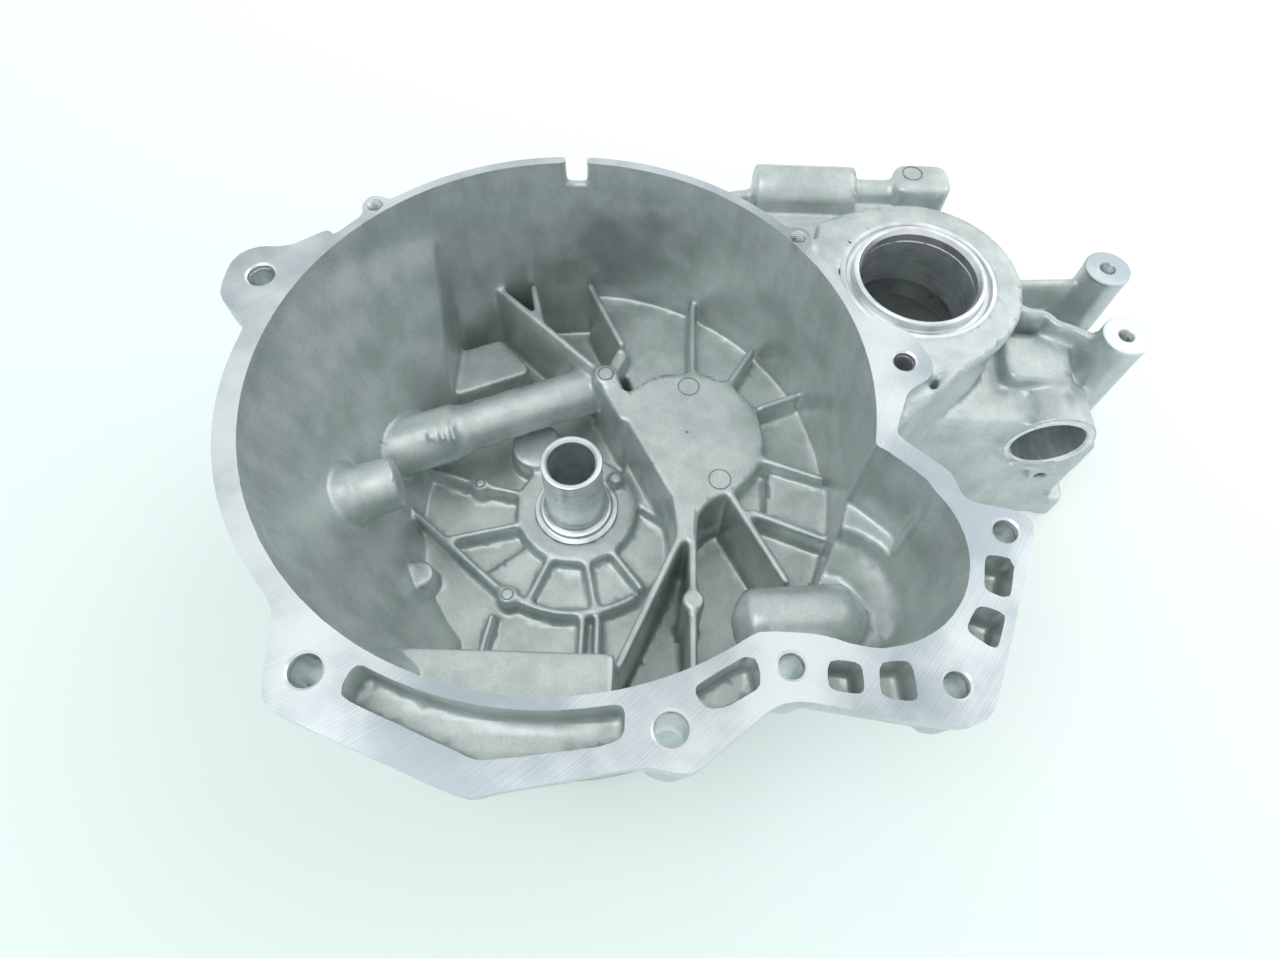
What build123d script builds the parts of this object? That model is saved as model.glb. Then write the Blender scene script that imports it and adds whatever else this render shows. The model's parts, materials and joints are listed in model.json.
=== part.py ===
from build123d import *
import math
import os

# Gearbox housing with clutch bell, one aluminium pressure die casting.
# Axis Z is the crank and input shaft axis, z = 0 is the joint face to the gear case,
# and the engine flange face is at z = HEIGHT. Lengths in mm, angles in degrees.

# Bell
HEIGHT = 165.0
BELL_R = 150.0
WALL = 5.5
FLOOR_Z = 15.0
FLOOR_T = 6.5
SHELF_Z = 55.0

# Left wall of the bell: a cone set off to the right that leans in towards the floor
LEAN = 0.36
LEAN_X = 25.0
LEAN_OVERLAP = 2.0
LEAN_TOP_R = BELL_R + LEAN_X + LEAN_OVERLAP
STEP_X = -86.0
NEAR_STEP_X = -64.0

# Engine flange
FLANGE_T = 26.0
EDGE_T = 12.0
EDGE_STEP = 3.0
POCKET_DEPTH = 19.0
POCKET_GAP = 5.5
EAR_T = 22.0
BIG_BOLT_R = 7.0
BOLT_R = 5.45
TAP_R = 3.4
TAP_DEPTH = 22.0
RIM_BOSS_R = 7.5
RIM_BOSS_DEPTH = 60.0

# Tapped holes of the rim: distance outside the bell bore, angle
RIM_TAPS = [(7.0, 134.43), (5.2, 39.35)]

# Engine bolts: x, y, hole radius, boss radius, boss depth below the flange face
ENGINE_BOLTS = [
    (-90.0, -142.6, BIG_BOLT_R, 16.5, 45.0),
    (54.4, -160.6, BIG_BOLT_R, 14.5, 40.0),
    (-159.0, 60.0, BIG_BOLT_R, 15.5, 34.0),
    (102.1, -134.6, BOLT_R, 12.5, 34.0),
    (199.1, -72.3, BOLT_R, 10.5, 32.0),
    (167.0, -140.0, BOLT_R, 12.5, 40.0),
    (166.9, 17.8, BOLT_R, 12.5, 46.0),
]

# Guide tube and seal seat
TUBE_R = 17.7
TUBE_BORE_R = 13.9
TUBE_TOP = 85.5
COLLAR_R = 22.5
COLLAR_H = 3.0
SEAT_R = 38.0
SEAT_Z = 29.0
SEAL_R = 20.0
SEAL_DEPTH = 7.0
SEAL_BOSS_R = 28.0

# Ring and ribs of the bell floor
RING_R = 69.0
RING_W = 5.0
RING_FLOOR_Z = 20.0
RIB_W = 5.0
RIB_TOP = 73.0
LOW_RIB_W = 4.5

# Output shaft boss
DOME_X, DOME_Y = 66.5, 29.0
DOME_R = 46.5
DOME_BORE_R = 31.0
DOME_BORE_Z = 21.0
DOME_CORE_R = 23.0
DOME_TOP_T = 8.0
DOME_SKIRT_R = 38.0
DOME_SKIRT_Z = 27.0

# Differential boss
DIFF_X, DIFF_Y = 184.0, 78.0
DIFF_R = 55.5
DIFF_DROP = 6.0
DIFF_PLATE_T = 13.0
LIP_R = 35.0
LIP_H = 3.0
GROOVE_W = 3.5
GROOVE_DEPTH = 2.5
SEAL_BORE_R = 31.0
DIFF_BORE_R = 40.0
DIFF_SEAT_Z = 124.0
DIFF_SEAT_DEPTH = 22.0
DIFF_CAVITY_R = 47.0
DIFF_Z = HEIGHT - DIFF_DROP

# Starter pocket
STARTER_X, STARTER_Y = 137.0, -82.0
STARTER_R = 44.7
STARTER_LEAN = 12.0
STARTER_FLOOR_Z = 82.0
BOWL_ROUND = 13.0

# Side box with the cross bore
BOX_FRONT_Y = 24.0
BOX_RIGHT_X = 308.0
BOX_STEP_Z = 62.0
BOX_BLOCK_Z = 88.0
BOX_TOP_Z = 103.0
BOX_WALL = 7.0
CROSS_X, CROSS_Z = 275.0, 85.0
CROSS_BORE_R = 20.0
CROSS_BOSS_R = 25.5
CROSS_FRONT = 2.0
CROSS_BACK_Y = 74.0
LUG_R = 8.0
LUG_DROP = 30.0

# Posts for the shift bracket
POST_R = 13.0
POST_DROP = 30.0
POST_TAP_DEPTH = 30.0
POSTS = [(306.0, 112.0), (304.0, 63.0)]
POST_TOP = HEIGHT - POST_DROP
POST_RIB_TOP = POST_TOP - 10.0

# Boss, neck and lug behind the bell
TOP_Y = 157.0
TOP_DROP = 22.0
BARREL_R = 15.5
NECK_R = 7.5

# Ledge of the near bell wall
LEDGE_Z = 94.0
LEDGE_Y = -111.0

# Joint to the gear case
JOINT_T = 16.0
JOINT_BAND = 13.0
JOINT_BOLT_R = 3.4
JOINT_BOLT_DEPTH = 13.0
JOINT_BOSS_R = 10.0
JOINT_BOLTS = [
    (-112.0, 40.0), (-110.0, -72.0), (-42.0, -144.5), (55.0, -140.0), (143.0, -50.0), (184.0, 8.0),
    (309.0, 30.0), (262.0, 144.0), (188.0, 168.5), (70.0, 165.0), (-48.0, 157.0),
]


def corner_points(before, corner, after, radius):
    """Tangent points and middle point of the arc that rounds one corner."""
    ax, ay = before[0] - corner[0], before[1] - corner[1]
    bx, by = after[0] - corner[0], after[1] - corner[1]
    la, lb = math.hypot(ax, ay), math.hypot(bx, by)
    ux, uy, vx, vy = ax / la, ay / la, bx / lb, by / lb
    half = math.acos(max(-1.0, min(1.0, ux * vx + uy * vy))) / 2
    reach = radius / math.tan(half)
    mx, my = ux + vx, uy + vy
    lm = math.hypot(mx, my)
    dist = radius / math.sin(half) - radius
    first = (corner[0] + ux * reach, corner[1] + uy * reach)
    last = (corner[0] + vx * reach, corner[1] + vy * reach)
    middle = (corner[0] + mx / lm * dist, corner[1] + my / lm * dist)
    return first, middle, last


def outline(corners):
    """Closed face from corners (x, y, radius); a radius of 0 keeps the corner sharp."""
    area = sum(a[0] * b[1] - b[0] * a[1] for a, b in zip(corners, corners[1:] + corners[:1]))
    corners = corners if area > 0 else corners[::-1]
    edges = []
    ends = []
    count = len(corners)
    for i in range(count):
        before, corner, after = corners[i - 1], corners[i], corners[(i + 1) % count]
        if corner[2] > 0:
            first, middle, last = corner_points(before, corner, after, corner[2])
            edges.append(ThreePointArc(first, middle, last))
            ends.append((first, last))
        else:
            ends.append((corner[:2], corner[:2]))
    for i in range(count):
        start, stop = ends[i - 1][1], ends[i][0]
        if math.dist(start, stop) > 1e-6:
            edges.append(Line(start, stop))
    return make_face(Wire(edges))


def prism(corners, low, high):
    """Upright block on an outline of rounded corners."""
    return Pos(0, 0, low) * extrude(outline(corners), high - low)


def plan(points, low, high):
    """Upright block on a sharp outline."""
    return prism([(x, y, 0) for x, y in points], low, high)


def upright(x, y, radius, low, high):
    """Upright cylinder."""
    return Pos(x, y, (low + high) / 2) * Cylinder(radius, high - low)


def tapered(x, y, low_r, high_r, low, high):
    """Upright cone between two radii."""
    return Pos(x, y, (low + high) / 2) * Cone(low_r, high_r, high - low)


def rib(start, stop, width, low, high):
    """Upright rib between two plan points."""
    dx, dy = stop[0] - start[0], stop[1] - start[1]
    length = math.hypot(dx, dy)
    angle = math.degrees(math.atan2(dy, dx))
    place = Pos((start[0] + stop[0]) / 2, (start[1] + stop[1]) / 2, (low + high) / 2)
    return place * Rot(0, 0, angle) * Box(length, width, high - low)


def lying(start, stop, radius, z):
    """Lying cylinder between two plan points."""
    dx, dy = stop[0] - start[0], stop[1] - start[1]
    length = math.hypot(dx, dy)
    angle = math.degrees(math.atan2(dy, dx))
    place = Pos((start[0] + stop[0]) / 2, (start[1] + stop[1]) / 2, z)
    return place * Rot(0, 0, angle) * Rot(0, 90, 0) * Cylinder(radius, length)


def polar(radius, degrees):
    """Plan point at a radius and an angle."""
    turn = math.radians(degrees)
    return (radius * math.cos(turn), radius * math.sin(turn))


def rim_taps():
    """Plan points of the tapped holes in the thin rim."""
    return [polar(BELL_R + gap, angle) for gap, angle in RIM_TAPS]


def arc_corners(radius, first, last, count):
    """Rounded corners that together draw an arc about the crank axis."""
    turn = (last - first) / count
    reach = radius / math.cos(math.radians(turn / 2))
    return [polar(reach, first + turn * (i + 0.5)) + (radius,) for i in range(count)]


def drum(grow, low, high):
    """Round form of the bell."""
    return upright(0, 0, BELL_R + grow, low, high)


def left_fill(grow, low, high):
    """What the leaning wall takes away from the round form, left of the step line."""
    left, near, far = STEP_X - grow, NEAR_STEP_X - grow, 2 * BELL_R
    block = plan([(left, 0), (left, far), (-far, far), (-far, -far), (near, -far), (near, 0)], low, high)
    low_r, high_r = LEAN_TOP_R - LEAN * (HEIGHT - low + 1), LEAN_TOP_R - LEAN * (HEIGHT - high - 1)
    return block - tapered(LEAN_X, 0, low_r + grow, high_r + grow, low - 1, high + 1)


def shelf_corners(inset):
    """Plan of the raised shelf over the gears."""
    far = 2 * BELL_R
    return [
        (36 + inset, 62 + inset), (4 + inset, BELL_R), (4 + inset, far), (far, far), (far, -far),
        (148, -118), (124 + inset, -64 + inset), (96 + inset, -10 + inset),
    ]


def bell_volume(wall, floor, top):
    """Space inside the bell, or its outer form when a wall and a floor are added."""
    low = FLOOR_Z - floor
    volume = drum(wall, low, top) - left_fill(wall, low - 1, top + 1)
    return volume - plan(shelf_corners(wall), low - 1, SHELF_Z - floor)


def flange_corners():
    """Outline of the near and right part of the engine flange."""
    return [
        (-157.0, 40.0, 0), (-168.8, -50.0, 150.0), (-108.5, -118.0, 12.0), (-104.5, -157.0, 12.0),
        (-22.0, -188.0, 18.0), (45.0, -174.5, 6.0), (62.0, -178.0, 12.0), (98.0, -147.5, 22.0),
        (177.0, -158.5, 17.0), (215.0, -64.0, 8.0), (184.0, -58.0, 14.0), (158.0, -25.0, 10.0),
        (150.0, -10.0, 0), (100.0, 0.0, 0), (-100.0, 60.0, 0),
    ]


def flange_plate():
    """Engine flange with its set-back lower part, the ear and the pad of the inner bolt."""
    plate = prism(flange_corners(), HEIGHT - EDGE_T, HEIGHT)
    lower = extrude(offset(outline(flange_corners()), -EDGE_STEP), FLANGE_T - EDGE_T)
    ear = [(-130, 94, 0), (-150, 80, 4), (-176.5, 79.5, 16), (-177.5, 45, 16), (-154, 25, 6), (-120, 20, 0)]
    pad = [(140, -30, 0), (156, -28, 4), (166, 0, 10), (184, 12, 12), (172, 36, 10), (140, 50, 0)]
    blocks = [prism(ear, HEIGHT - EAR_T, HEIGHT), prism(pad, HEIGHT - FLANGE_T, HEIGHT)]
    return [plate, Pos(0, 0, HEIGHT - FLANGE_T) * lower] + blocks


def flange_bosses():
    """Round bosses under the engine bolts and under the tapped holes of the rim."""
    found = [upright(x, y, boss, HEIGHT - depth, HEIGHT - 1) for x, y, hole, boss, depth in ENGINE_BOLTS]
    return found + [upright(x, y, RIM_BOSS_R, HEIGHT - RIM_BOSS_DEPTH, HEIGHT) for x, y in rim_taps()]


def flange_pockets():
    """Blind cored pockets that open on the flange face."""
    near_r, first, last = BELL_R + POCKET_GAP, 243.0, 283.5
    long_one = arc_corners(near_r, first, last, 2)
    long_one = [polar(near_r, first) + (2.5,), *long_one, polar(near_r, last) + (2.5,)]
    long_one += [(36.5, -164.5, 3), (27, -168, 0), (-18, -174.5, 8), (-66.5, -155.5, 5), (-75.5, -151.5, 3)]
    pockets = [
        long_one,
        [(62, -145, 0), (84, -131, 0), (88, -131.5, 0), (90, -143, 0), (76, -151.5, 0), (68, -153, 0)],
        [(116.5, -131.5, 0), (130, -132.5, 0), (130, -145.5, 0), (115.5, -143.5, 0)],
        [(137, -132, 0), (150, -131, 0), (151, -147.5, 0), (136, -146, 0)],
        [(181, -106.5, 0), (192, -110, 0), (185.2, -126.3, 0), (173.5, -117.5, 0)],
        [(188, -83.5, 0), (200.5, -85.5, 0), (194.6, -104.2, 0), (184.5, -100, 0)],
    ]
    slots = [[(126, 117), (134, 115), (131, 99)], [(177, 6), (189, 20), (184, 8)]]
    cuts = [prism(one, HEIGHT - POCKET_DEPTH, HEIGHT + 1) for one in pockets]
    return cuts + [plan(one, DIFF_Z - 12, HEIGHT + 1) for one in slots]


def starter_bowl(grow, low):
    """Round pocket for the starter pinion, or its outer form when a wall is added."""
    base_r = STARTER_R - STARTER_LEAN * (HEIGHT - low) / (HEIGHT - STARTER_FLOOR_Z)
    return tapered(STARTER_X, STARTER_Y, base_r + grow, STARTER_R + grow, low, HEIGHT)


def starter_outside():
    """Wall round the starter pocket and the corner towards the inner engine bolt."""
    corner = [(130, -40), (152, -20), (180, -44), (186, -70), (140, -70)]
    return starter_bowl(WALL, STARTER_FLOOR_Z - FLOOR_T) + plan(corner, STARTER_FLOOR_Z, HEIGHT)


def starter_inside():
    """Pocket for the starter pinion, open to the bell."""
    corner = [(140, -60, 0), (166, -60, 0), (174, -53, 8), (150, -32, 2), (140, -32, 0)]
    near = [(60, -135, 0), (90, -120.5, 14), (112, -121, 20), (140, -127, 0), (140, -80, 0), (60, -80, 0)]
    bend, bend_r = STARTER_FLOOR_Z + BOWL_ROUND, STARTER_R - STARTER_LEAN
    foot = tapered(STARTER_X, STARTER_Y, bend_r - BOWL_ROUND, bend_r, STARTER_FLOOR_Z, bend)
    bowl = starter_bowl(0, bend) + foot
    return bowl + prism(corner, STARTER_FLOOR_Z + 26, HEIGHT) + prism(near, STARTER_FLOOR_Z + 20, HEIGHT)


def differential_outside():
    """Differential boss: column, face plate, web to the bell and raised seal lip."""
    plate = [
        (120, 60, 0), (148, -10, 0), (178, 0, 5), (220, 35.7, 0), (DIFF_X, DIFF_Y, 0),
        (166.9, 130.8, 0), (146, 124, 4), (112, 106, 0),
    ]
    web = [(130, -34, 0), (150, -28, 0), (178, 1, 6), (212, 30, 10), (200, 60, 0), (150, 120, 0), (120, 90, 0)]
    column = upright(DIFF_X, DIFF_Y, DIFF_R - 2, 0, DIFF_Z - 1)
    disc = upright(DIFF_X, DIFF_Y, DIFF_R, DIFF_Z - DIFF_PLATE_T, DIFF_Z)
    face = prism(plate, DIFF_Z - DIFF_PLATE_T, DIFF_Z)
    lip = upright(DIFF_X, DIFF_Y, LIP_R, DIFF_Z - DIFF_PLATE_T, DIFF_Z + LIP_H)
    return [column, disc, face, prism(web, SHELF_Z - FLOOR_T, DIFF_Z - 2), lip]


def differential_cuts():
    """Seal bore, lip groove, bearing seat, cavity below it and oil notch."""
    groove = upright(DIFF_X, DIFF_Y, LIP_R + GROOVE_W, DIFF_Z - GROOVE_DEPTH, DIFF_Z + 1)
    groove -= upright(DIFF_X, DIFF_Y, LIP_R, DIFF_Z - GROOVE_DEPTH - 1, DIFF_Z + 2)
    bore = upright(DIFF_X, DIFF_Y, SEAL_BORE_R, DIFF_SEAT_Z - 1, HEIGHT + 1)
    seat = upright(DIFF_X, DIFF_Y, DIFF_BORE_R, DIFF_SEAT_Z - DIFF_SEAT_DEPTH - 1, DIFF_SEAT_Z)
    cavity = upright(DIFF_X, DIFF_Y, DIFF_CAVITY_R, -1, DIFF_SEAT_Z - DIFF_SEAT_DEPTH)
    notch = Pos(DIFF_X, DIFF_Y + SEAL_BORE_R, DIFF_Z - 22) * Box(10, 7, 18)
    return [groove, bore, seat, cavity, notch]


def joint_corners():
    """Outline of the joint face to the gear case."""
    return [
        (-119.0, 60.0, 20), (-126.0, -66.0, 60), (-86.0, -118.0, 8), (-80.0, -142.0, 10),
        *arc_corners(BELL_R + 8, 248.0, 330.0, 2), (170.0, -36.0, 20), (196.0, 22.0, 14),
        (318.0, 22.0, 12), (322.0, 134.0, 16), (262.0, 152.0, 30), (218.0, 176.0, 14),
        (96.0, 176.0, 16), (36.0, 163.0, 60), (-52.0, 166.0, 60), (-104.0, 124.0, 26),
    ]


def joint_flange():
    """Joint flange with its bolt bosses, and the side walls up to the bell."""
    bosses = [Pos(x, y) * Circle(JOINT_BOSS_R) for x, y in JOINT_BOLTS]
    band = extrude(Sketch() + outline(joint_corners()) + bosses, JOINT_T)
    skirt = extrude(offset(outline(joint_corners()), WALL - JOINT_BAND), SHELF_Z)
    return [band, skirt]


def side_box():
    """Box beside the differential with the cross bore boss, blister and tapped lug."""
    lower = [
        (190, BOX_FRONT_Y, 0), (BOX_RIGHT_X, BOX_FRONT_Y, 5), (BOX_RIGHT_X, 60, 0), (300, 132, 10),
        (230, 140, 0), (180, 100, 0),
    ]
    block = [(230, 40, 0), (300, 40, 0), (305, 130, 12), (220, 138, 0)]
    roof = [(190, BOX_FRONT_Y, 0), (262, BOX_FRONT_Y, 3), (275, 60, 0), (285, 120, 10), (190, 120, 0)]
    hump = [(244, 48, 7), (283, 46, 7), (286, 80, 9), (248, 82, 9)]
    cheek_x = CROSS_X - 4
    cheek = [(cheek_x, BOX_FRONT_Y + 1), (BOX_RIGHT_X, BOX_FRONT_Y + 1), (BOX_RIGHT_X, 70), (cheek_x, 70)]
    front, lug_x = BOX_FRONT_Y - CROSS_FRONT, CROSS_X + LUG_R
    return [
        prism(lower, 0, BOX_STEP_Z), prism(block, 0, BOX_BLOCK_Z), prism(roof, BOX_STEP_Z - 2, BOX_TOP_Z),
        lying((CROSS_X, front), (CROSS_X, 52), CROSS_BOSS_R, CROSS_Z),
        prism(hump, BOX_STEP_Z, CROSS_Z + CROSS_BOSS_R + 3), plan(cheek, BOX_STEP_Z - 7, CROSS_Z - 6),
        lying((lug_x, front - 5), (lug_x, 40), LUG_R, CROSS_Z - LUG_DROP),
    ]


def posts():
    """Two posts, tied to the differential boss by a straight and a wavy rib."""
    far, near = POSTS
    foot_x = DIFF_X + DIFF_R - 6
    steps = [(-50, 29.5), (-44, 25), (-33.5, 24), (-30, 17), (-20, 13.5), (0, 0)]
    wave = [(foot_x, near[1] + 30)] + [(near[0] + dx, near[1] + dy) for dx, dy in steps]
    found = [upright(x, y, POST_R, 0, POST_TOP) for x, y in POSTS]
    found.append(rib((foot_x, far[1] - 4), far, 6, BOX_STEP_Z, POST_RIB_TOP))
    found += [rib(a, b, 6, BOX_STEP_Z, POST_RIB_TOP) for a, b in zip(wave, wave[1:])]
    found.append(upright(foot_x + 18, far[1], 11, BOX_STEP_Z, POST_RIB_TOP - 4))
    found.append(rib(near, far, 8, JOINT_T, POST_TOP - 40))
    return found


def top_bosses():
    """Lying boss, neck and lug behind the upper wall, with their web."""
    z, left, right = HEIGHT - TOP_DROP, 101, 160
    lug = [(183, 148, 4), (215, 148, 5), (215, 171, 7), (183, 171, 7)]
    web = [(52, 138, 0), (86, 150, 8), (214, 152, 4), (214, 164, 4), (92, 164, 10), (52, 150, 6)]
    tie = [(92, 120), (150, 110), (200, 130), (200, 156), (100, 156)]
    return [
        lying((left, TOP_Y), (right, TOP_Y), BARREL_R, z), lying((right, TOP_Y + 2), (186, TOP_Y + 2), NECK_R, z),
        prism(lug, z - 14, z + 12), prism(web, 0, z - 4), plan(tie, 0, z - 2),
        rib((58, 143), (left, 156), 7, 40, z + 2),
    ]


def gear_cavity():
    """Gear side space, open at the joint face, under floor, shelf, box and differential."""
    inner = offset(outline(joint_corners()), -JOINT_BAND)
    boss = upright(DIFF_X, DIFF_Y, DIFF_R - 2, 0, HEIGHT)
    barrel = lying((CROSS_X, 0), (CROSS_X, 140), CROSS_BOSS_R, CROSS_Z)
    main = Pos(0, 0, -1) * extrude(inner, SHELF_Z - FLOOR_T + 1)
    main = main - bell_volume(WALL, FLOOR_T, HEIGHT)
    right = [(204, 31), (286, 31), (292, 118), (236, 128), (204, 118)]
    under_roof = [(204, 31), (256, 31), (268, 60), (276, 112), (204, 112)]
    web = [(140, -24), (160, -8), (176, 6), (204, 32), (160, 70)]
    back = [(96, 124), (140, 96), (170, 120), (208, 134), (208, 146), (96, 146)]
    engine_boss = upright(ENGINE_BOLTS[-1][0], ENGINE_BOLTS[-1][1], ENGINE_BOLTS[-1][3], 0, HEIGHT)
    bell = drum(WALL, -2, HEIGHT)
    box_space = plan(right, 1, BOX_BLOCK_Z - BOX_WALL) + plan(under_roof, 1, BOX_TOP_Z - BOX_WALL)
    box_space = box_space - barrel - boss
    web_space = plan(web, 1, DIFF_Z - DIFF_PLATE_T) - bell - boss - engine_boss
    back_space = plan(back, 1, HEIGHT - TOP_DROP - BARREL_R) - bell - boss
    return [main, box_space, web_space, back_space]


def dome_corners():
    """Plan that gives the output shaft boss its two flat sides."""
    return [(26, 44, 3), (57.5, -14, 4), (81, -14, 6), (130, 10, 0), (130, 90, 0), (20, 90, 0)]


def gear_side_bosses():
    """Bearing boss with its ribs and the seal boss on the gear side."""
    top = SHELF_Z - FLOOR_T + 1
    skirt = upright(DOME_X, DOME_Y, DOME_SKIRT_R, DOME_SKIRT_Z - 1, top) & prism(dome_corners(), 0, top)
    found = [upright(DOME_X, DOME_Y, DOME_SKIRT_R, 3, DOME_SKIRT_Z), skirt, upright(0, 0, SEAL_BOSS_R, 0, FLOOR_Z)]
    for angle in (-20, 20, 60, 100):
        start, stop = polar(DOME_SKIRT_R - 2, angle), polar(DOME_SKIRT_R + 40, angle)
        first, last = (DOME_X + start[0], DOME_Y + start[1]), (DOME_X + stop[0], DOME_Y + stop[1])
        found.append(rib(first, last, RIB_W, 10, top))
    return found


def dome():
    """Flat topped boss over the output shaft bearing: a disc with two flat sides and a stem."""
    stem = [(57.5, -13, 0), (82, -13, 0), (73, -24, 4), (72.5, -40, 0), (61, -40, 0)]
    disc = upright(DOME_X, DOME_Y, DOME_R, FLOOR_Z - 2, RIB_TOP) & prism(dome_corners(), 0, RIB_TOP + 1)
    return [disc, prism(stem, FLOOR_Z - 2, RIB_TOP)]


def dome_ribs():
    """Ribs from the flat boss to the bell wall, the two pin bosses and a raised pad."""
    low, deep = SHELF_Z - 2, FLOOR_Z - 2
    deep_ribs = [
        ((16, 70), (-59, 139)), ((-28, 112), (-36, 143)), ((26, 94), (1, 146)),
        ((92, -10), (122, -64)), ((70, -20), (70, -134)), ((65, -32), (22, -133)),
    ]
    shelf_ribs = [
        ((70, 74), (70, 131)), ((93, 68), (109, 96)), ((110, 50), (135, 61)),
        ((111, 14), (147, 2)), ((102, -20), (144, -36)),
    ]
    found = [rib(a, b, RIB_W, deep, RIB_TOP) for a, b in deep_ribs]
    found += [rib(a, b, RIB_W, low, RIB_TOP) for a, b in shelf_ribs]
    found.append(rib((16, 70), (32, 40), 13, deep, RIB_TOP))
    found.append(rib((16, 70), (26, 94), 9, deep, RIB_TOP - 6))
    found.append(upright(16, 70, 8, deep, RIB_TOP + 2))
    found.append(upright(70, -75, 6.5, deep, RIB_TOP + 1))
    found.append(plan([(112, -22), (150, -36), (152, 0), (114, 8)], low, SHELF_Z + 9))
    return found


def tube():
    """Guide tube with its collar on the seat disc."""
    return [
        upright(0, 0, SEAT_R, FLOOR_Z - 2, SEAT_Z), upright(0, 0, COLLAR_R, SEAT_Z - 1, SEAT_Z + COLLAR_H),
        upright(0, 0, TUBE_R, SEAT_Z, TUBE_TOP),
    ]


def tube_cuts():
    """Shaft bore and the seal seat from the gear side."""
    return [upright(0, 0, TUBE_BORE_R, -1, TUBE_TOP + 1), upright(0, 0, SEAL_R, -1, SEAL_DEPTH)]


def floor_ribs():
    """Ring wall with its raised floor, spokes, small ribs and bosses round the guide tube."""
    low, top = FLOOR_Z - 2, SEAT_Z
    sector = plan([(0, 0), (-150, -120), (-20, -200), (150, -200), (80, 0)], 0, SHELF_Z)
    ring_part = plan([(0, 0), (-90, -130), (-20, -200), (100, -200), (70, -100)], 0, SHELF_Z)
    ring = upright(0, 0, RING_R + RING_W / 2, low, top) - upright(0, 0, RING_R - RING_W / 2, low - 1, top + 1)
    found = [ring & ring_part, upright(0, 0, RING_R, low, RING_FLOOR_Z) & sector]
    lines = [(polar(SEAT_R - 2, angle), polar(RING_R, angle)) for angle in (248, 283, 309)]
    lines += [((-103, 27), (-62, 14)), ((-62, 14), (-36, 9)), ((-78, -24), (-36, -13)), ((-102, -6), (-37, -60))]
    lines += [((-45, -70), (-52, -112)), ((8, -72), (8, -112)), ((17, -71), (18, -112))]
    found += [rib(a, b, LOW_RIB_W, low, top) for a, b in lines]
    found += [upright(-62, 14, 5.5, low, top + 1.5), upright(-37, -59.5, 6.5, low, top + 1.5)]
    found += [upright(-28, 42, 17, low, SEAT_Z + 4), upright(24, 18, 5, low, SEAT_Z + 8)]
    return found


def ledge_corners(inset):
    """Plan of the ledge in front of the near bell wall."""
    back = -BELL_R
    return [(-75 + inset, LEDGE_Y - inset), (30 - inset, LEDGE_Y - inset), (30 - inset, back), (-75 + inset, back)]


def cast_bulges():
    """Round bulges over the shift parts, the ledge, the pad, the knob and the pocket bulge."""
    pad = [(-88, 112, 3), (-60, 124, 6), (-34, 97, 6), (-86, 74, 3)]
    pocket_wall = [(86, -106), (150, -104), (150, -140), (86, -140)]
    found = [
        lying((-150, -36), (-95, -15), 15, 84), lying((-150, -36), (-116, -23), 17.5, 84),
        lying((-100, 30), (6, 75), 14.5, 50), lying((-130, 18), (-76, 40), 17.5, 50),
        lying((96, -92), (146, -88), 15.5, 89), upright(-90, -50, 9, FLOOR_Z - 1, 35),
        plan(ledge_corners(0), FLOOR_Z - 1, LEDGE_Z), prism(pad, FLOOR_Z - 1, 38),
        plan(pocket_wall, FLOOR_Z - 1, 92),
    ]
    found += [rib((x - 8, 22), (x - 13, 34), 3, 40, 69) for x in (-78, -71, -64)]
    return found


def relief():
    """Hollows from the gear side that keep the ledge and the pocket bulge thin walled."""
    bell = drum(-WALL, -1, HEIGHT)
    pocket = [(92, -112), (150, -110), (150, -140), (92, -140)]
    return [
        plan(ledge_corners(WALL), -1, LEDGE_Z - WALL) & bell,
        plan(pocket, -1, STARTER_FLOOR_Z - FLOOR_T) & bell,
    ]


def holes():
    """Bolt holes, tapped holes, cross bore, rim notch and output bearing seat."""
    lug_x, front = CROSS_X + LUG_R, BOX_FRONT_Y - 14
    found = [upright(x, y, hole, HEIGHT - depth - 15, HEIGHT + 1) for x, y, hole, boss, depth in ENGINE_BOLTS]
    found += [upright(x, y, TAP_R, HEIGHT - TAP_DEPTH, HEIGHT + 1) for x, y in rim_taps()]
    found += [upright(x, y, TAP_R, POST_TOP - POST_TAP_DEPTH, POST_TOP + 1) for x, y in POSTS]
    found += [upright(x, y, JOINT_BOLT_R, -1, JOINT_BOLT_DEPTH) for x, y in JOINT_BOLTS]
    found.append(lying((CROSS_X, front), (CROSS_X, CROSS_BACK_Y), CROSS_BORE_R, CROSS_Z))
    found.append(lying((lug_x, front), (lug_x, 34), TAP_R, CROSS_Z - LUG_DROP))
    found.append(plan([(-8.6, BELL_R - 8), (2.7, BELL_R - 8), (2.7, BELL_R + 12), (-8.6, BELL_R + 12)],
                      HEIGHT - 15, HEIGHT + 1))
    found.append(upright(DOME_X, DOME_Y, DOME_BORE_R, -1, DOME_BORE_Z))
    found.append(upright(DOME_X, DOME_Y, DOME_CORE_R, DOME_BORE_Z - 1, RIB_TOP - DOME_TOP_T))
    return found


def housing():
    """The whole casting."""
    envelope = bell_volume(WALL, FLOOR_T, HEIGHT)
    shell = Part() + [envelope, starter_outside()] + flange_plate() + flange_bosses()
    shell = shell + differential_outside() + side_box() + posts() + top_bosses() + joint_flange()
    shell = shell - bell_volume(0, 0, HEIGHT + 1) - starter_inside() - gear_cavity()
    inner = Part() + dome() + dome_ribs() + tube() + floor_ribs() + cast_bulges()
    hull = envelope + starter_outside()
    body = shell + [inner & hull] + gear_side_bosses()
    return body - differential_cuts() - flange_pockets() - tube_cuts() - holes() - relief()


part = housing()
os.makedirs("parts", exist_ok=True)
export_step(part, "parts/housing.step")
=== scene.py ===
import json
import math

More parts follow.
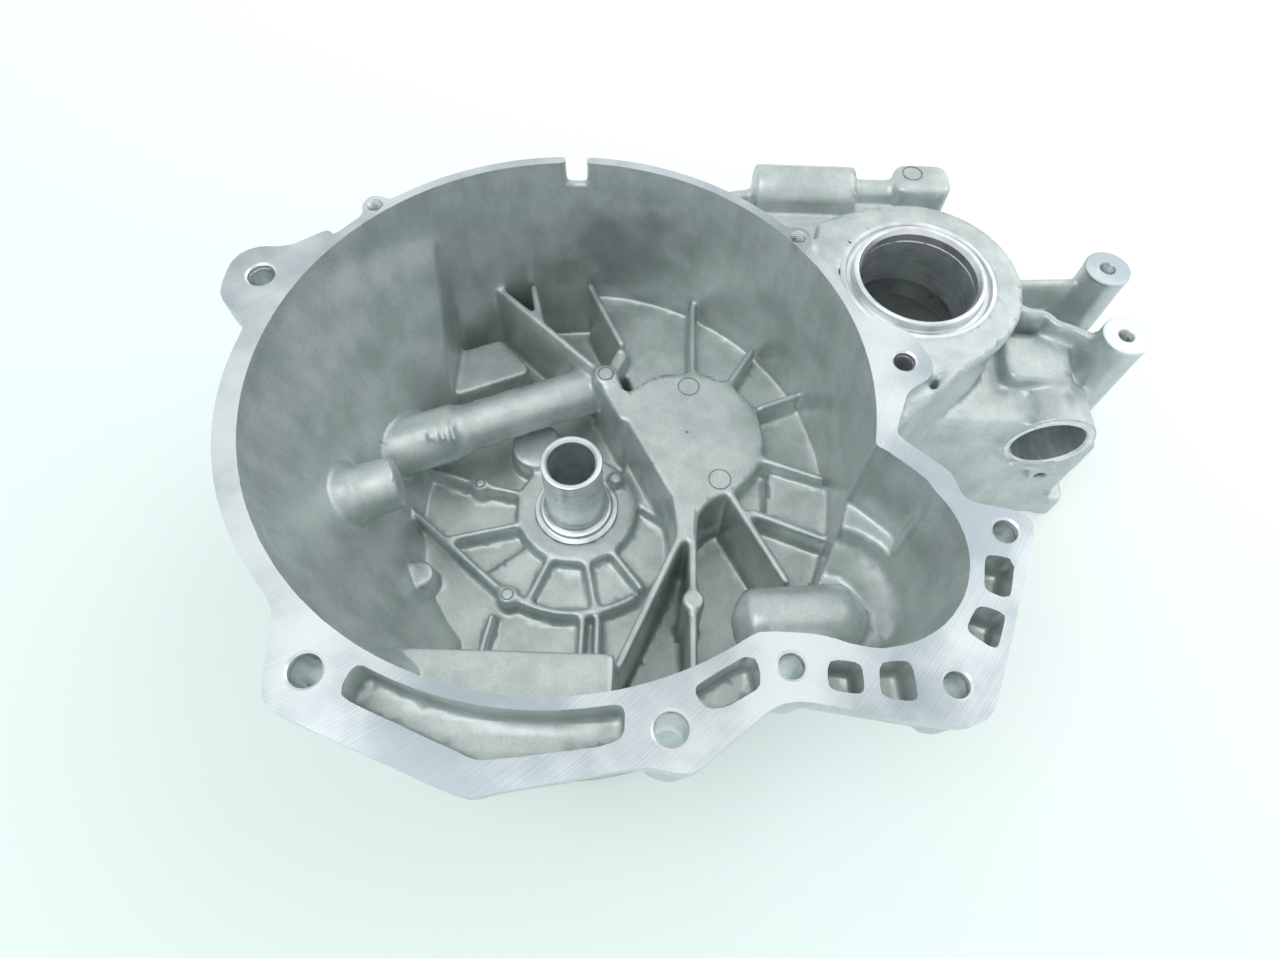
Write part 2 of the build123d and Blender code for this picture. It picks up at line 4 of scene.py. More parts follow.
import bmesh
import bpy
import numpy as np
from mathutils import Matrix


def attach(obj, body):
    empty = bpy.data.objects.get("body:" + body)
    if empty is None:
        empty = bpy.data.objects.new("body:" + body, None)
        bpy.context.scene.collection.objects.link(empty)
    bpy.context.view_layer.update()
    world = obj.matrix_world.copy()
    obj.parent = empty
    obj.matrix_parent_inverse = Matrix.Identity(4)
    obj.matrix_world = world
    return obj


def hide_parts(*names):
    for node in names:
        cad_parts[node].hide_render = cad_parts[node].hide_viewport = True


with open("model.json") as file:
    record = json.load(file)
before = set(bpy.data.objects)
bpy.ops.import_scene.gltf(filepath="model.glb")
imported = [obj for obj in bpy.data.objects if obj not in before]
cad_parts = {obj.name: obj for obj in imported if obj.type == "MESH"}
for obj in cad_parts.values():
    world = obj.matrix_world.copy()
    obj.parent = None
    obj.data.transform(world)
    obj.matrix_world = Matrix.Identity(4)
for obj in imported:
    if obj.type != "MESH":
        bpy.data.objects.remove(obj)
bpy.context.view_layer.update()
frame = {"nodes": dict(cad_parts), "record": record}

import openvdb
from mathutils import Matrix, Vector

metres = 0.001
scene = bpy.context.scene

# Casting, in mm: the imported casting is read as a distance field, rounded a little as metal leaves a die,
# and its machined faces and bores are then cut sharp again. Band, wall gap and adaptivity count in cells,
# and the right pockets are given by the two corners of the box that holds their thin walls
castForm = {
    "voxel": 0.9,
    "quickVoxel": 2.2,
    "band": 5,
    "margin": 9.0,
    "rounding": 1.5,
    "adaptivity": 0.35,
    "wallLift": 4.0,
    "wallReach": 5.0,
    "wallGap": 0.9,
    "faceDepth": 1.0,
    "plug": 1.4,
    "boreMatch": 0.02,
    "borePaint": 0.35,
    "thinGrow": 1.0,
    "rightPockets": ((172.0, -128.0, 138.0), (206.0, -80.0, 168.0)),
}
voxel = castForm["voxel"]


# Signed distance in mm on a regular grid, negative in the metal
class DistanceField:
    def __init__(self, points, triangles, step, band, margin):
        self.step = step
        self.limit = band * step
        transform = openvdb.createLinearTransform(voxelSize=step)
        faces = triangles.astype(np.uint32)
        grid = openvdb.FloatGrid.createLevelSetFromPolygons(
            points, triangles=faces, transform=transform, halfWidth=float(band))
        self.first = np.floor((points.min(0) - margin) / step).astype(int)
        last = np.ceil((points.max(0) + margin) / step).astype(int)
        self.values = np.full(tuple(last - self.first + 1), self.limit, np.float32)
        grid.copyToArray(self.values, ijk=self.corner())
        self.axes = [(self.first[a] + np.arange(self.values.shape[a])) * step for a in range(3)]

    def corner(self):
        return tuple(int(i) for i in self.first)

    # The cells between two corners, with their x, y and z as arrays that broadcast
    def window(self, low, high):
        cuts = []
        for a in range(3):
            start = int(np.searchsorted(self.axes[a], low[a]))
            stop = int(np.searchsorted(self.axes[a], high[a]))
            cuts.append(slice(start, max(stop, start + 1)))
        x, y, z = (self.axes[a][cuts[a]].astype(np.float32) for a in range(3))
        return tuple(cuts), x[:, None, None], y[None, :, None], z[None, None, :]

    def fill(self, cuts, distance):
        self.values[cuts] = np.minimum(self.values[cuts], distance)

    def carve(self, cuts, distance):
        self.values[cuts] = np.maximum(self.values[cuts], -distance)

    # Union with a fillet: min(a, b) - h h k / 4 with h = max(k - |a - b|, 0) / k
    def blend(self, cuts, distance, fillet):
        old = self.values[cuts]
        near = np.maximum(fillet - np.abs(old - distance), 0.0) / fillet
        self.values[cuts] = np.minimum(old, distance) - near * near * fillet / 4

    # Gaussian mean: each value becomes the sum of w(k) v(i + k), w(k) = exp(-k k / 2 s s), axis by axis
    def blur(self, sigma):
        spread = sigma / self.step
        reach = max(1, int(math.ceil(2.6 * spread)))
        weights = np.exp(-0.5 * (np.arange(-reach, reach + 1) / spread) ** 2)
        weights = (weights / weights.sum()).astype(np.float32)
        for axis in range(3):
            source = np.moveaxis(self.values, axis, 0)
            total = weights[reach] * source
            for k in range(1, reach + 1):
                total[:-k] += weights[reach + k] * source[k:]
                total[k:] += weights[reach - k] * source[:-k]
                total[-k:] += weights[reach + k] * source[-1:]
                total[:k] += weights[reach - k] * source[:1]
            self.values = np.ascontiguousarray(np.moveaxis(total, 0, axis))

    def polygons(self, adaptivity):
        grid = openvdb.FloatGrid(float(self.limit))
        grid.transform = openvdb.createLinearTransform(voxelSize=self.step)
        grid.gridClass = openvdb.GridClass.LEVEL_SET
        grid.copyFromArray(self.values, ijk=self.corner(), tolerance=0.0)
        return grid.convertToPolygons(isovalue=0.0, adaptivity=adaptivity)

    # Value at points, by linear steps along x, y and z between the eight cells round each point
    def sample(self, points):
        place = points / self.step - self.first
        base = np.clip(np.floor(place).astype(int), 0, np.array(self.values.shape) - 2)
        part = np.clip(place - base, 0.0, 1.0)
        total = np.zeros(len(points))
        for corner in range(8):
            bit = np.array([(corner >> a) & 1 for a in range(3)])
            weight = np.prod(np.where(bit, part, 1.0 - part), axis=1)
            i, j, k = (base + bit).T
            total += weight * self.values[i, j, k]
        return total

    # Unit gradient, from the difference over one cell either side
    def normals(self, points):
        slope = np.empty_like(points)
        for a in range(3):
            shift = np.zeros(3)
            shift[a] = self.step
            slope[:, a] = self.sample(points + shift) - self.sample(points - shift)
        return slope / np.maximum(np.linalg.norm(slope, axis=1), 1e-9)[:, None]


# One value, or one row of values, for each item of a Blender collection
def readArray(items, name, kind, width=1):
    values = np.empty(len(items) * width, kind)
    items.foreach_get(name, values)
    return values.reshape(-1, width) if width > 1 else values


def nodeArrays(node):
    mesh = node.data
    mesh.calc_loop_triangles()
    points = readArray(mesh.vertices, "co", np.float32, 3)
    return points.astype(np.float64) / metres, readArray(mesh.loop_triangles, "vertices", np.int32, 3)


# Bores, tapped holes and the tube of the record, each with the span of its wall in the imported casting
def readBores(points):
    found = {}
    for mount in frame["record"]["mounts"]:
        if mount["kind"] not in ("bore", "threaded_hole", "pin"):
            continue
        place, axis = np.array(mount["pos_m"]) / metres, np.array(mount["axis"], float)
        radius = mount["dims"]["r_mm"]
        along = (points - place) @ axis
        radial = np.linalg.norm(points - place - along[:, None] * axis, axis=1)
        within = np.abs(along) < mount["dims"]["length_mm"] + 1.0
        way = int(np.argmax(np.abs(axis)))
        span = points[within & (np.abs(radial - radius) < castForm["boreMatch"])][:, way]
        found[mount["name"]] = {
            "kind": mount["kind"], "place": place, "radius": radius, "way": way,
            "low": float(span.min()), "high": float(span.max()),
        }
    return found


# Distance to a round bar along one grid axis: max(radial - r, low - t, t - high)
def bar(field, place, way, radius, low, high, reach=6.0):
    lowCorner, highCorner = np.array(place) - radius - reach, np.array(place) + radius + reach
    lowCorner[way], highCorner[way] = low - reach, high + reach
    cuts, x, y, z = field.window(lowCorner, highCorner)
    across = [x, y, z]
    along = across.pop(way)
    centre = [place[a] for a in range(3) if a != way]
    radial = np.sqrt((across[0] - centre[0]) ** 2 + (across[1] - centre[1]) ** 2)
    return cuts, np.maximum(np.maximum(radial - radius, low - along), along - high)


# Distance to a rod with round ends between two points: |p - nearest point of the axis| - r
def rod(field, start, stop, radius, reach=9.0):
    start, stop = np.array(start, float), np.array(stop, float)
    around = radius + reach
    cuts, x, y, z = field.window(np.minimum(start, stop) - around, np.maximum(start, stop) + around)
    along = stop - start
    share = (x - start[0]) * along[0] + (y - start[1]) * along[1] + (z - start[2]) * along[2]
    share = np.clip(share / (along @ along), 0.0, 1.0)
    away = (x - start[0] - share * along[0]) ** 2 + (y - start[1] - share * along[1]) ** 2
    return cuts, np.sqrt(away + (z - start[2] - share * along[2]) ** 2) - radius


def meshFromArrays(name, points, triangles, quads):
    mesh = bpy.data.meshes.new(name)
    counts = np.concatenate([np.full(len(triangles), 3), np.full(len(quads), 4)]).astype(np.int32)
    corners = np.concatenate([triangles.ravel(), quads.ravel()]).astype(np.int32)
    mesh.vertices.add(len(points))
    mesh.vertices.foreach_set("co", (points * metres).astype(np.float32).ravel())
    mesh.loops.add(len(corners))
    mesh.loops.foreach_set("vertex_index", corners)
    mesh.polygons.add(len(counts))
    mesh.polygons.foreach_set("loop_start", np.concatenate([[0], np.cumsum(counts)[:-1]]).astype(np.int32))
    mesh.polygons.foreach_set("use_smooth", np.ones(len(counts), bool))
    mesh.update(calc_edges=True)
    return mesh


def linkPiece(name, mesh):
    piece = bpy.data.objects.new(name, mesh)
    scene.collection.objects.link(piece)
    return piece


# Cuts the mesh at a level and closes it with a flat face, noted in the layer named cap
def capAt(mesh, height, upwards):
    work = bmesh.new()
    work.from_mesh(mesh)
    marks = work.faces.layers.int.get("cap") or work.faces.layers.int.new("cap")
    normal = (0.0, 0.0, 1.0 if upwards else -1.0)
    whole = work.verts[:] + work.edges[:] + work.faces[:]
    cut = bmesh.ops.bisect_plane(
        work, geom=whole, dist=1e-7, plane_co=(0.0, 0.0, height * metres), plane_no=normal,
        clear_outer=True)
    rim = [e for e in cut["geom_cut"] if isinstance(e, bmesh.types.BMEdge)]
    lid = bmesh.ops.triangle_fill(work, use_beauty=True, use_dissolve=False, edges=rim, normal=normal)
    for face in lid["geom"]:
        if isinstance(face, bmesh.types.BMFace):
            face[marks] = 1 if upwards else 2
            if face.normal.z * normal[2] < 0:
                face.normal_flip()
    work.to_mesh(mesh)
    work.free()


# Machined seats, in mm: the casting makes room at them, and turned rings fill it. The cut values say how
# far a bore is cut past its ends and how much comes off a faced boss
seatForm = {
    "tubePocket": 25.0,
    "tubeFloor": 26.5,
    "lipRadius": 35.0,
    "lipHeight": 3.0,
    "grooveRadius": 38.5,
    "grooveDepth": 2.5,
    "ringRadius": 40.2,
    "sealBed": 155.0,
    "postRadius": 13.0,
    "postMargin": 3.0,
    "crossRadius": 25.5,
    "crossReach": 30.0,
    "crossLow": 64.0,
    "faceCut": 0.5,
    "cutBelow": 3.0,
    "cutFarBelow": 12.0,
    "cutAbove": 9.0,
    "mouthDepth": 2.4,
    "boltChamfer": 1.1,
    "tapChamfer": 0.8,
    "threadDepth": 0.62,
    "threadPitch": 1.25,
    "threadGap": 0.1,
    "mouthGap": 0.05,
}
postNames = ("post_thread_1", "post_thread_2")
openSeats = ("output_bearing_seat", "seal_seat")
steppedSeat = "differential_bearing_seat"


# Round forms that run into the bell wall, in mm: start, stop, radius and fillet
bulgeForm = {
    "starterFinger": ((104.0, -91.5, 88.0), (140.0, -88.5, 89.0), 16.6, 7.0),
    "leverBarrel": ((-96.0, 32.0, 50.0), (0.0, 72.0, 50.0), 13.0, 5.0),
    "leverHead": ((-124.0, 21.0, 49.0), (-80.0, 38.5, 50.0), 15.5, 5.0),
    "pivotBarrel": ((-142.0, -33.0, 84.0), (-106.0, -19.0, 84.0), 13.5, 5.0),
}


# Room for the turned tube, and a flat bed for the turned seal lip
def clearSeats(field, bores):
    tube, seal = bores["guide_tube"], bores["differential_seal_bore"]
    plate, ring, spare = seal["high"] - seatForm["lipHeight"], seatForm["ringRadius"] + 1.0, 6.0
    pocket, floor = seatForm["tubePocket"], seatForm["tubeFloor"]
    field.carve(*bar(field, tube["place"], 2, pocket, floor, tube["high"] + spare))
    field.fill(*bar(field, seal["place"], 2, ring, plate - spare, plate))
    field.carve(*bar(field, seal["place"], 2, ring, plate, plate + spare))


# Bores are closed before the rounding, so that it leaves no fillet in them
def plugBores(field, bores):
    plate = bores["differential_seal_bore"]["high"] - seatForm["lipHeight"]
    for name, bore in bores.items():
        if bore["kind"] == "pin":
            continue
        high = min(bore["high"], plate) if name == "differential_seal_bore" else bore["high"]
        high = min(high, seatForm["tubeFloor"]) if name == "guide_bore" else high
        radius = bore["radius"] + castForm["plug"]
        field.fill(*bar(field, bore["place"], bore["way"], radius, bore["low"], high))
    inward, outward = 3.0, 4.0
    for name in postNames:
        place, high = bores[name]["place"], bores[name]["high"]
        field.fill(*bar(field, place, 2, seatForm["postRadius"], high - inward, high + outward))
    cross = bores["cross_bore"]
    near = cross["low"]
    field.fill(*bar(field, cross["place"], 1, seatForm["crossRadius"], near - outward, near + inward))


# Section of the walls at a level, without what begins between it and the face beside it
def wallSection(field, level, face):
    deep, near = (field.values[:, :, int(np.searchsorted(field.axes[2], z))] for z in (level, face))
    gap = castForm["wallGap"] * voxel
    return np.where((near > gap) & (deep < near - gap), near, deep)[:, :, None]


# Walls go straight on past the flange face and the joint face, to be cut flat later
def extendWalls(field, top, bottom):
    z = field.axes[2]
    lift, reach = castForm["wallLift"], castForm["wallReach"]
    upper, lower = int(np.searchsorted(z, top - lift)), int(np.searchsorted(z, bottom + lift))
    walls = wallSection(field, top - lift, top - castForm["faceDepth"])
    field.values[:, :, upper:] = np.maximum(walls, z[None, None, upper:] - top - reach)
    walls = wallSection(field, bottom + lift, bottom + castForm["faceDepth"])
    field.values[:, :, :lower] = np.maximum(walls, bottom - reach - z[None, None, :lower])


# Thin pocket walls keep their metal: max(rounded - g, sharp) where the sharp field is metal
def keepThinWalls(field, sharp):
    cuts = field.window(*castForm["rightPockets"])[0]
    rounded, before = field.values[cuts], sharp[cuts]
    kept = np.minimum(rounded, np.maximum(rounded - castForm["thinGrow"], before))
    field.values[cuts] = np.where(before < 0, kept, rounded)


# Span to cut for each bore, and how much wider the cut is where a thread lines it
def boreCut(name, bore):
    low, high, extra = bore["low"] - seatForm["cutBelow"], bore["high"] + seatForm["cutAbove"], 0.0
    if name == "guide_bore":
        high = seatForm["tubeFloor"] + seatForm["cutBelow"]
    if name == "cross_bore":
        high = bore["high"]
    if name in openSeats:
        low, high = bore["low"] - seatForm["cutFarBelow"], bore["high"]
    if name == steppedSeat:
        low, high = bore["low"], bore["high"]
    if bore["kind"] == "threaded_hole":
        low, extra = bore["low"], seatForm["threadDepth"] + seatForm["threadGap"]
    return low, high, extra


# Flat face round the mouth of the cross bore, above the lug
def faceCrossBoss(field, cross):
    reach, near = seatForm["crossReach"], cross["low"]
    x0, z0 = cross["place"][0], cross["place"][2]
    low = (x0 - reach, near - seatForm["cutAbove"], seatForm["crossLow"])
    cuts, x, y, z = field.window(low, (x0 + reach, near + 2.0, z0 + reach))
    field.carve(cuts, y - near - seatForm["faceCut"] + 0 * x + 0 * z)


def opensAt(bore, top):
    return abs(bore["high"] - top) < 0.1


def machineField(field, bores, top):
    above = seatForm["cutAbove"]
    for name, bore in bores.items():
        if bore["kind"] == "pin":
            continue
        low, high, extra = boreCut(name, bore)
        field.carve(*bar(field, bore["place"], bore["way"], bore["radius"] + extra, low, high))
        if opensAt(bore, top):
            mouth = bore["radius"] + seatForm["boltChamfer"] + seatForm["mouthGap"]
            field.carve(*bar(field, bore["place"], 2, mouth, top - seatForm["mouthDepth"], top + above))
    for name in postNames:
        place, high = bores[name]["place"], bores[name]["high"]
        radius = seatForm["postRadius"] + seatForm["postMargin"]
        field.carve(*bar(field, place, 2, radius, high - seatForm["faceCut"], high + above))
    faceCrossBoss(field, bores["cross_bore"])
    seal, bed = bores["differential_seal_bore"], seatForm["sealBed"]
    field.carve(*bar(field, seal["place"], 2, seatForm["ringRadius"], bed, seal["high"] + above))


# Finish of each face: 0 as cast, 1 milled at the caps and 2 turned in the bores
def faceFinishes(mesh, caps, bores):
    centres = readArray(mesh.polygons, "center", np.float64, 3) / metres
    finish = np.where(caps > 0, 1, 0)
    for bore in bores.values():
        across = [a for a in range(3) if a != bore["way"]]
        away = np.linalg.norm(centres[:, across] - bore["place"][across], axis=1)
        along = centres[:, bore["way"]]
        inside = (along > bore["low"] - 1) & (along < bore["high"] + 1)
        inside &= (away < bore["radius"] + castForm["borePaint"]) & (caps == 0)
        finish = np.where(inside, 2, finish)
    return finish.astype(np.int32)


# Smooth normals from the field, and flat ones on the machined faces
def cornerNormals(mesh, caps, field):
    smooth = field.normals(readArray(mesh.vertices, "co", np.float64, 3) / metres)
    normals = smooth[readArray(mesh.loops, "vertex_index", np.int32)]
    cornerCaps = np.repeat(caps, readArray(mesh.polygons, "loop_total", np.int32))
    normals[cornerCaps == 1] = (0.0, 0.0, 1.0)
    normals[cornerCaps == 2] = (0.0, 0.0, -1.0)
    return normals


def finishCasting(mesh, field, bores):
    caps = readArray(mesh.attributes["cap"].data, "value", np.int32)
    normals = cornerNormals(mesh, caps, field)
    mesh.polygons.foreach_set("material_index", faceFinishes(mesh, caps, bores))
    mesh.attributes.remove(mesh.attributes["cap"])
    mesh.normals_split_custom_set(normals)


def buildCasting(points, triangles, bores, finishes):
    top, bottom = points[:, 2].max(), points[:, 2].min()
    field = DistanceField(points, triangles, voxel, castForm["band"], castForm["margin"])
    for start, stop, radius, fillet in bulgeForm.values():
        field.blend(*rod(field, start, stop, radius), fillet)
    clearSeats(field, bores)
    plugBores(field, bores)
    extendWalls(field, top, bottom)
    sharp = field.values.copy()
    field.blur(castForm["rounding"])
    keepThinWalls(field, sharp)
    print("field rounded", field.values.shape)
    machineField(field, bores, top)
    shell, threes, fours = field.polygons(castForm["adaptivity"])
    # The library winds its faces the other way round
    mesh = meshFromArrays("casting", shell.astype(np.float64), threes[:, ::-1], fours[:, ::-1])
    capAt(mesh, top, True)
    capAt(mesh, bottom, False)
    finishCasting(mesh, field, bores)
    for finish in finishes:
        mesh.materials.append(finish)
    print("casting faces", len(mesh.polygons))
    return linkPiece("casting", mesh)


# Turned surfaces gathered in one mesh: (r, t) of a profile becomes c + r (u cos a + v sin a) + t w,
# with a pair of rings for each stretch of the profile so that its corners stay sharp
class Turning:
    def __init__(self):
        self.points, self.quads, self.count = [], [], 0

    def frameOf(self, way, sign):
        w = np.zeros(3)
        w[way] = sign
        u = np.roll(np.abs(w), 1)
        return u, np.cross(w, u), w

    def addGrid(self, points, rows, segments):
        row = np.arange(rows - 1)[:, None] * segments
        index = np.arange(segments)[None, :]
        following = (index + 1) % segments
        corners = [row + index, row + following, row + segments + following, row + segments + index]
        quads = np.stack(corners, axis=-1)
        self.points.append(points)
        self.quads.append(quads.reshape(-1, 4) + self.count)
        self.count += len(points)

    def addProfile(self, place, profile, way=2, sign=1.0, segments=72):
        angle = np.linspace(0.0, 2 * np.pi, segments, endpoint=False)
        u, v, w = self.frameOf(way, sign)
        centre = np.array(place, float)
        centre[way] = 0.0
        for pair in zip(profile, profile[1:]):
            rings = [centre + r * (np.cos(angle)[:, None] * u + np.sin(angle)[:, None] * v) + t * w
                     for r, t in pair]
            self.addGrid(np.concatenate(rings), 2, segments)

    # Thread: r = core + depth |2 frac(t / pitch - a / 2 pi) - 1|
    def addThread(self, place, core, low, high, segments=40):
        rows = int((high - low) / seatForm["threadPitch"] * 6)
        t = np.linspace(high, low, rows)[:, None]
        angle = np.linspace(0.0, 2 * np.pi, segments, endpoint=False)[None, :]
        phase = (t / seatForm["threadPitch"] - angle / (2 * np.pi)) % 1.0
        radius = core + seatForm["threadDepth"] * np.abs(2 * phase - 1)
        x, y = place[0] + radius * np.cos(angle), place[1] + radius * np.sin(angle)
        self.addGrid(np.stack([x, y, t + 0 * angle], axis=-1).reshape(-1, 3), rows, segments)

    def piece(self, name, finish):
        noTriangles = np.zeros((0, 3), int)
        mesh = meshFromArrays(name, np.concatenate(self.points), noTriangles, np.concatenate(self.quads))
        mesh.materials.append(finish)
        return linkPiece(name, mesh)


def buildTube(bores, finish):
    tube, bore = bores["guide_tube"], bores["guide_bore"]
    r, inner, top, floor = tube["radius"], bore["radius"], tube["high"], seatForm["tubeFloor"]
    profile = [
        (seatForm["tubePocket"] + 0.6, floor + 2.3), (23.2, floor + 2.55), (22.6, floor + 2.8),
        (22.3, floor + 3.3), (22.3, floor + 4.6), (21.8, floor + 5.3), (20.4, floor + 5.7),
        (19.0, floor + 6.6), (18.1, floor + 8.2), (r, floor + 10.6), (r, top - 0.9),
        (r - 0.25, top - 0.3), (r - 0.9, top), (inner + 1.1, top), (inner, top - 1.1),
        (inner, floor - 1.0),
    ]
    turning = Turning()
    turning.addProfile(tube["place"], profile, segments=112)
    return turning.piece("guide_tube", finish)


def buildLip(bores, finish):
    seal = bores["differential_seal_bore"]
    top, r, lip, groove = seal["high"], seal["radius"], seatForm["lipRadius"], seatForm["grooveRadius"]
    plate = top - seatForm["lipHeight"]
    bed = plate - seatForm["grooveDepth"]
    profile = [
        (seatForm["ringRadius"] + 1.3, plate - 0.6), (seatForm["ringRadius"] + 0.5, plate + 0.04),
        (groove + 0.4, plate + 0.04), (groove, plate - 0.4), (groove, bed + 0.7), (groove - 0.7, bed),
        (lip + 0.7, bed), (lip, bed + 0.7), (lip, top - 1.0), (lip - 0.3, top - 0.3), (lip - 1.0, top),
        (r + 2.0, top), (r + 1.4, top - 0.3), (r, top - 2.8), (r, seatForm["sealBed"] - 0.5),
    ]
    turning = Turning()
    turning.addProfile(seal["place"], profile, segments=144)
    return turning.piece("seal_lip", finish)


def buildMouths(bores, top, finish):
    turning = Turning()
    for name, bore in bores.items():
        r, high, place = bore["radius"], bore["high"], bore["place"]
        threaded = bore["kind"] == "threaded_hole"
        if threaded:
            turning.addThread(place, r, bore["low"], high - seatForm["tapChamfer"] + seatForm["threadGap"])
        if opensAt(bore, top) and bore["kind"] != "pin":
            rim = r + seatForm["boltChamfer"]
            inner = r + seatForm["threadDepth"] if threaded else r - 0.02
            profile = [(rim + 0.15, high - 0.02), (rim, high), (inner, high - seatForm["tapChamfer"]),
                       (inner, high - seatForm["mouthDepth"] - 0.3)]
            turning.addProfile(place, profile[:3] if threaded else profile)
    cross = bores["cross_bore"]
    near, r = cross["low"], cross["radius"]
    profile = [(24.6, -near - 1.4), (24.4, -near - 0.9), (23.8, -near - 0.1), (r + 1.2, -near),
               (r, -near - 1.2), (r, -near - 4.0)]
    turning.addProfile(cross["place"], profile, way=1, sign=-1.0, segments=112)
    return turning.piece("bore_mouths", finish)


def buildPostTops(bores, finish):
    turning = Turning()
    for name in postNames:
        bore = bores[name]
        high, edge, core = bore["high"], seatForm["postRadius"], bore["radius"] + seatForm["threadDepth"]
        profile = [(edge + 0.02, high - 1.6), (edge, high - 0.7), (edge - 0.2, high - 0.2),
                   (edge - 0.7, high), (core + 0.7, high), (core, high - 0.7)]
        turning.addProfile(bore["place"], profile, segments=64)
    return turning.piece("post_tops", finish)


# Rings that the ejector pins of the die leave, in mm: x, y, height of the cast face and radius
ejectorForm = {
    "domeNear": (85.5, -1.0, 73.0, 6.4),
    "domeFar": (67.5, 63.5, 73.0, 6.4),
    "pinBoss": (16.0, 70.0, 74.9, 4.6),
    "lug": (193.3, 162.6, 155.0, 5.6),
    "ribKnot": (-37.0, -59.5, 30.4, 3.4),
    "smallKnot": (-62.0, 14.0, 30.4, 2.8),
}


def buildEjectorRings(marks, finish):
    turning = Turning()
    for x, y, z, r in marks.values():
        profile = [(r + 0.5, z - 0.1), (r + 0.25, z + 0.3), (r - 0.25, z + 0.3), (r - 0.5, z - 0.1)]
        turning.addProfile((x, y, 0.0), profile, segments=40)
    return turning.piece("ejector_rings", finish)


# Shader sockets with plain operators
class Socket:
    def __init__(self, tree, socket):
        self.tree, self.socket = tree, socket

    def maths(self, operation, other=None, clamp=False):
        node = self.tree.nodes.new("ShaderNodeMath")
        node.operation = operation
        node.use_clamp = clamp
        self.tree.links.new(self.socket, node.inputs[0])
        if isinstance(other, Socket):
            self.tree.links.new(other.socket, node.inputs[1])
        elif other is not None:
            node.inputs[1].default_value = other
        return Socket(self.tree, node.outputs[0])

    def __add__(self, other):
        return self.maths("ADD", other)

    def __sub__(self, other):
        return self.maths("SUBTRACT", other)

    def __mul__(self, other):
        return self.maths("MULTIPLY", other)

    # 0 below low, 1 above high and smooth between them
    def between(self, low, high):
        node = self.tree.nodes.new("ShaderNodeMapRange")
        node.interpolation_type = "SMOOTHSTEP"
        node.inputs["From Min"].default_value = low
        node.inputs["From Max"].default_value = high
        self.tree.links.new(self.socket, node.inputs["Value"])
        return Socket(self.tree, node.outputs[0])


class Finish:
    def __init__(self, name, look):
        self.material = bpy.data.materials.new(name)
        self.material.use_nodes = True
        self.tree = self.material.node_tree
        self.shader = self.tree.nodes["Principled BSDF"]
        self.shader.inputs["Metallic"].default_value = look["metallic"]
        self.place = self.tree.nodes.new("ShaderNodeTexCoord").outputs["Object"]

    # Place in mm, with a share of each axis
    def scaled(self, share=(1.0, 1.0, 1.0)):
        node = self.tree.nodes.new("ShaderNodeVectorMath")
        node.operation = "MULTIPLY"
        self.tree.links.new(self.place, node.inputs[0])
        node.inputs[1].default_value = [s / metres for s in share]
        return node.outputs[0]

    # Cloudy noise, with spots of a size in mm
    def noise(self, size, detail, share=(1.0, 1.0, 1.0)):
        node = self.tree.nodes.new("ShaderNodeTexNoise")
        node.inputs["Scale"].default_value = 1.0 / size
        node.inputs["Detail"].default_value = detail
        node.inputs["Roughness"].default_value = 0.55
        self.tree.links.new(self.scaled(share), node.inputs["Vector"])
        return Socket(self.tree, node.outputs["Fac"])

    def distance(self, centre, share=(1.0, 1.0, 1.0)):
        node = self.tree.nodes.new("ShaderNodeVectorMath")
        node.operation = "DISTANCE"
        self.tree.links.new(self.scaled(share), node.inputs[0])
        node.inputs[1].default_value = [c * s for c, s in zip(centre, share)]
        return Socket(self.tree, node.outputs["Value"])

    # Length along a direction, in mm
    def along(self, way):
        node = self.tree.nodes.new("ShaderNodeVectorMath")
        node.operation = "DOT_PRODUCT"
        self.tree.links.new(self.scaled(), node.inputs[0])
        node.inputs[1].default_value = way
        return Socket(self.tree, node.outputs["Value"])

    # Fine lines that a tool leaves on its way round a centre
    def toolMarks(self, centre, pitch):
        node = self.tree.nodes.new("ShaderNodeTexNoise")
        node.noise_dimensions = "1D"
        node.inputs["Scale"].default_value = 1.0 / pitch
        node.inputs["Detail"].default_value = 2.0
        self.tree.links.new(self.distance(centre, (1.0, 1.0, 0.0)).socket, node.inputs["W"])
        return Socket(self.tree, node.outputs["Fac"])

    def mix(self, share, first, second):
        node = self.tree.nodes.new("ShaderNodeMix")
        node.data_type = "RGBA"
        for name, colour in (("A", first), ("B", second)):
            if isinstance(colour, tuple):
                node.inputs[name].default_value = colour + (1.0,)
            else:
                self.tree.links.new(colour, node.inputs[name])
        self.tree.links.new(share.socket, node.inputs["Factor"])
        return node.outputs["Result"]

    def close(self, colour, roughness, height, strength, depth):
        self.tree.links.new(colour, self.shader.inputs["Base Color"])
        self.tree.links.new(roughness.socket, self.shader.inputs["Roughness"])
        bump = self.tree.nodes.new("ShaderNodeBump")
        bump.inputs["Strength"].default_value = strength
        bump.inputs["Distance"].default_value = depth * metres
        self.tree.links.new(height.socket, bump.inputs["Height"])
        self.tree.links.new(bump.outputs["Normal"], self.shader.inputs["Normal"])
        return self.material


# Skin of the casting: colours, painted shade on the upper back wall, roughness and the marks of the die,
# in mm
castLook = {
    "dark": (0.43, 0.49, 0.48),
    "light": (0.60, 0.66, 0.65),
    # Colour, and below it place and size, of painted shade: a darker patch on the upper back wall of the
    # bell
    "stain": (0.20, 0.245, 0.24),
    "dot": (0.10, 0.22, 0.42),
    "metallic": 0.5,
    "roughness": 0.36,
    "stainPlace": (30.0, 150.0, 96.0),
    "stainSize": 62.0,
    "dotPlace": (66.4, 30.3, 73.0),
    "dotSize": 1.3,
    "swirlSize": 24.0,
    "swirlPitch": 0.8,
    "cloudSize": 24.0,
    "flowSize": 9.0,
    "grainSize": 1.3,
    "waveSize": 4.0,
    "skinSize": 0.9,
}
